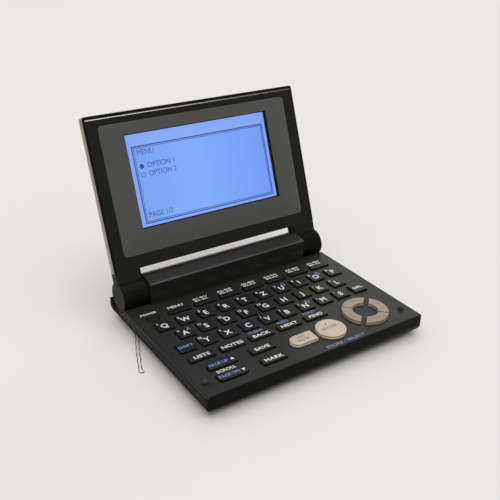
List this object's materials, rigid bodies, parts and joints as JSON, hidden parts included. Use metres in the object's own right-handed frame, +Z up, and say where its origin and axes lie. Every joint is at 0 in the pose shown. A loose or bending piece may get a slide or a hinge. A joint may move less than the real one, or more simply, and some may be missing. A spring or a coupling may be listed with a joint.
{
  "type": "electronic dictionary",
  "caption": "Pocket electronic dictionary: a small keyboard base with a display lid on a friction hinge and a cord loop.",
  "frame": {"origin": "on the table under the middle of the open dictionary's box", "axes": "+X along the hinge to the user's right, +Y from the user to the hinge, +Z up"},
  "size_m": [0.1185, 0.1086, 0.0884],
  "materials": {
    "case_gloss": "glossy black moulded plastic",
    "shell_gloss": "plastic in a glossy champagne-grey metallic paint",
    "panel_matte": "fine matte charcoal plastic",
    "key_dark": "satin black plastic",
    "key_silver": "satin silver-beige lacquered plastic",
    "window": "clear plate with a dark grey printed border",
    "display": "blue backlit liquid crystal display",
    "light_guide": "white light guide",
    "steel": "bright plated steel",
    "cell_sleeve": "cell in a printed sleeve",
    "circuit_board": "green solder mask",
    "chip": "black moulded package",
    "ribbon": "amber polyimide ribbon",
    "mat_rubber": "grey silicone rubber",
    "foot_rubber": "black rubber",
    "cord": "thin brown cord"
  },
  "bodies": {
    "base": {"lower_case": "case_gloss", "keyboard_panel": "panel_matte", "hinge_cover": "case_gloss", "hinge_barrels": "steel", "battery_cell": "cell_sleeve", "battery_plate": "steel", "battery_spring": "steel", "main_board": "circuit_board", "board_chips": "chip", "board_cable": "ribbon", "key_mat": "mat_rubber", "rubber_feet": "foot_rubber", "lid_bumpers": "foot_rubber", "base_screws": "steel", "strap_anchor": "case_gloss", "strap_loop": "cord"},
    "battery_door": {"battery_door": "case_gloss"},
    "lid": {"lid_shell": "shell_gloss", "lid_bezel": "case_gloss", "hinge_shafts": "steel", "display_window": "window", "lcd_panel": "display", "backlight": "light_guide", "display_frame": "steel", "display_board": "circuit_board", "display_cable": "ribbon", "lid_screws": "steel"},
    "power_key": {"power_key": "key_dark"},
    "mode_key_1": {"mode_key_1": "key_dark"},
    "mode_key_2": {"mode_key_2": "key_dark"},
    "mode_key_3": {"mode_key_3": "key_dark"},
    "mode_key_4": {"mode_key_4": "key_dark"},
    "mode_key_5": {"mode_key_5": "key_dark"},
    "mode_key_6": {"mode_key_6": "key_dark"},
    "mode_key_7": {"mode_key_7": "key_dark"},
    "letter_row_top": {"letter_row_top": "key_dark"},
    "letter_row_middle": {"letter_row_middle": "key_dark"},
    "letter_row_bottom": {"letter_row_bottom": "key_dark"},
    "shift_key": {"shift_key": "key_dark"},
    "delete_key": {"delete_key": "key_dark"},
    "function_key_1": {"function_key_1": "key_dark"},
    "function_key_2": {"function_key_2": "key_dark"},
    "function_key_3": {"function_key_3": "key_dark"},
    "function_key_4": {"function_key_4": "key_dark"},
    "function_key_5": {"function_key_5": "key_dark"},
    "favourite_key": {"favourite_key": "key_dark"},
    "marker_key": {"marker_key": "key_dark"},
    "page_up_key": {"page_up_key": "key_dark"},
    "page_down_key": {"page_down_key": "key_dark"},
    "escape_key": {"escape_key": "key_silver"},
    "enter_key": {"enter_key": "key_silver"},
    "cursor_up_key": {"cursor_up_key": "key_silver"},
    "cursor_right_key": {"cursor_right_key": "key_silver"},
    "cursor_down_key": {"cursor_down_key": "key_silver"},
    "cursor_left_key": {"cursor_left_key": "key_silver"}
  },
  "joints": [
    {"name": "lid_hinge", "type": "hinge", "parent": "base", "child": "lid", "pos_m": [0, 0.02324, 0.0134], "axis": [-1, 0, 0], "range_deg": [-110.8, 39.2]},
    {"name": "battery_door_slide", "type": "slide", "parent": "base", "child": "battery_door", "axis": [0, 1, 0], "range_m": [0, 0.006]},
    {"name": "power_key_press", "type": "slide", "parent": "base", "child": "power_key", "axis": [0, 0, -1], "range_m": [0, 0.0004], "stiffness_N_per_m": 600, "springref_m": -0.0003},
    {"name": "mode_key_1_press", "type": "slide", "parent": "base", "child": "mode_key_1", "axis": [0, 0, -1], "range_m": [0, 0.0008], "stiffness_N_per_m": 600, "springref_m": -0.0003},
    {"name": "mode_key_2_press", "type": "slide", "parent": "base", "child": "mode_key_2", "axis": [0, 0, -1], "range_m": [0, 0.0008], "stiffness_N_per_m": 600, "springref_m": -0.0003},
    {"name": "mode_key_3_press", "type": "slide", "parent": "base", "child": "mode_key_3", "axis": [0, 0, -1], "range_m": [0, 0.0008], "stiffness_N_per_m": 600, "springref_m": -0.0003},
    {"name": "mode_key_4_press", "type": "slide", "parent": "base", "child": "mode_key_4", "axis": [0, 0, -1], "range_m": [0, 0.0008], "stiffness_N_per_m": 600, "springref_m": -0.0003},
    {"name": "mode_key_5_press", "type": "slide", "parent": "base", "child": "mode_key_5", "axis": [0, 0, -1], "range_m": [0, 0.0008], "stiffness_N_per_m": 600, "springref_m": -0.0003},
    {"name": "mode_key_6_press", "type": "slide", "parent": "base", "child": "mode_key_6", "axis": [0, 0, -1], "range_m": [0, 0.0008], "stiffness_N_per_m": 600, "springref_m": -0.0003},
    {"name": "mode_key_7_press", "type": "slide", "parent": "base", "child": "mode_key_7", "axis": [0, 0, -1], "range_m": [0, 0.0008], "stiffness_N_per_m": 600, "springref_m": -0.0003},
    {"name": "letter_row_top_press", "type": "slide", "parent": "base", "child": "letter_row_top", "axis": [0, 0, -1], "range_m": [0, 0.0008], "stiffness_N_per_m": 600, "springref_m": -0.0003},
    {"name": "letter_row_middle_press", "type": "slide", "parent": "base", "child": "letter_row_middle", "axis": [0, 0, -1], "range_m": [0, 0.0008], "stiffness_N_per_m": 600, "springref_m": -0.0003},
    {"name": "letter_row_bottom_press", "type": "slide", "parent": "base", "child": "letter_row_bottom", "axis": [0, 0, -1], "range_m": [0, 0.0008], "stiffness_N_per_m": 600, "springref_m": -0.0003},
    {"name": "shift_key_press", "type": "slide", "parent": "base", "child": "shift_key", "axis": [0, 0, -1], "range_m": [0, 0.0008], "stiffness_N_per_m": 600, "springref_m": -0.0003},
    {"name": "delete_key_press", "type": "slide", "parent": "base", "child": "delete_key", "axis": [0, 0, -1], "range_m": [0, 0.0008], "stiffness_N_per_m": 600, "springref_m": -0.0003},
    {"name": "function_key_1_press", "type": "slide", "parent": "base", "child": "function_key_1", "axis": [0, 0, -1], "range_m": [0, 0.0008], "stiffness_N_per_m": 600, "springref_m": -0.0003},
    {"name": "function_key_2_press", "type": "slide", "parent": "base", "child": "function_key_2", "axis": [0, 0, -1], "range_m": [0, 0.0008], "stiffness_N_per_m": 600, "springref_m": -0.0003},
    {"name": "function_key_3_press", "type": "slide", "parent": "base", "child": "function_key_3", "axis": [0, 0, -1], "range_m": [0, 0.0008], "stiffness_N_per_m": 600, "springref_m": -0.0003},
    {"name": "function_key_4_press", "type": "slide", "parent": "base", "child": "function_key_4", "axis": [0, 0, -1], "range_m": [0, 0.0008], "stiffness_N_per_m": 600, "springref_m": -0.0003},
    {"name": "function_key_5_press", "type": "slide", "parent": "base", "child": "function_key_5", "axis": [0, 0, -1], "range_m": [0, 0.0008], "stiffness_N_per_m": 600, "springref_m": -0.0003},
    {"name": "favourite_key_press", "type": "slide", "parent": "base", "child": "favourite_key", "axis": [0, 0, -1], "range_m": [0, 0.0008], "stiffness_N_per_m": 600, "springref_m": -0.0003},
    {"name": "marker_key_press", "type": "slide", "parent": "base", "child": "marker_key", "axis": [0, 0, -1], "range_m": [0, 0.0008], "stiffness_N_per_m": 600, "springref_m": -0.0003},
    {"name": "page_up_key_press", "type": "slide", "parent": "base", "child": "page_up_key", "axis": [0, 0, -1], "range_m": [0, 0.0008], "stiffness_N_per_m": 600, "springref_m": -0.0003},
    {"name": "page_down_key_press", "type": "slide", "parent": "base", "child": "page_down_key", "axis": [0, 0, -1], "range_m": [0, 0.0008], "stiffness_N_per_m": 600, "springref_m": -0.0003},
    {"name": "escape_key_press", "type": "slide", "parent": "base", "child": "escape_key", "axis": [0, 0, -1], "range_m": [0, 0.0008], "stiffness_N_per_m": 600, "springref_m": -0.0003},
    {"name": "enter_key_press", "type": "slide", "parent": "base", "child": "enter_key", "axis": [0, 0, -1], "range_m": [0, 0.0008], "stiffness_N_per_m": 600, "springref_m": -0.0003},
    {"name": "cursor_up_key_press", "type": "slide", "parent": "base", "child": "cursor_up_key", "axis": [0, 0, -1], "range_m": [0, 0.0008], "stiffness_N_per_m": 600, "springref_m": -0.0003},
    {"name": "cursor_right_key_press", "type": "slide", "parent": "base", "child": "cursor_right_key", "axis": [0, 0, -1], "range_m": [0, 0.0008], "stiffness_N_per_m": 600, "springref_m": -0.0003},
    {"name": "cursor_down_key_press", "type": "slide", "parent": "base", "child": "cursor_down_key", "axis": [0, 0, -1], "range_m": [0, 0.0008], "stiffness_N_per_m": 600, "springref_m": -0.0003},
    {"name": "cursor_left_key_press", "type": "slide", "parent": "base", "child": "cursor_left_key", "axis": [0, 0, -1], "range_m": [0, 0.0008], "stiffness_N_per_m": 600, "springref_m": -0.0003}
  ]
}
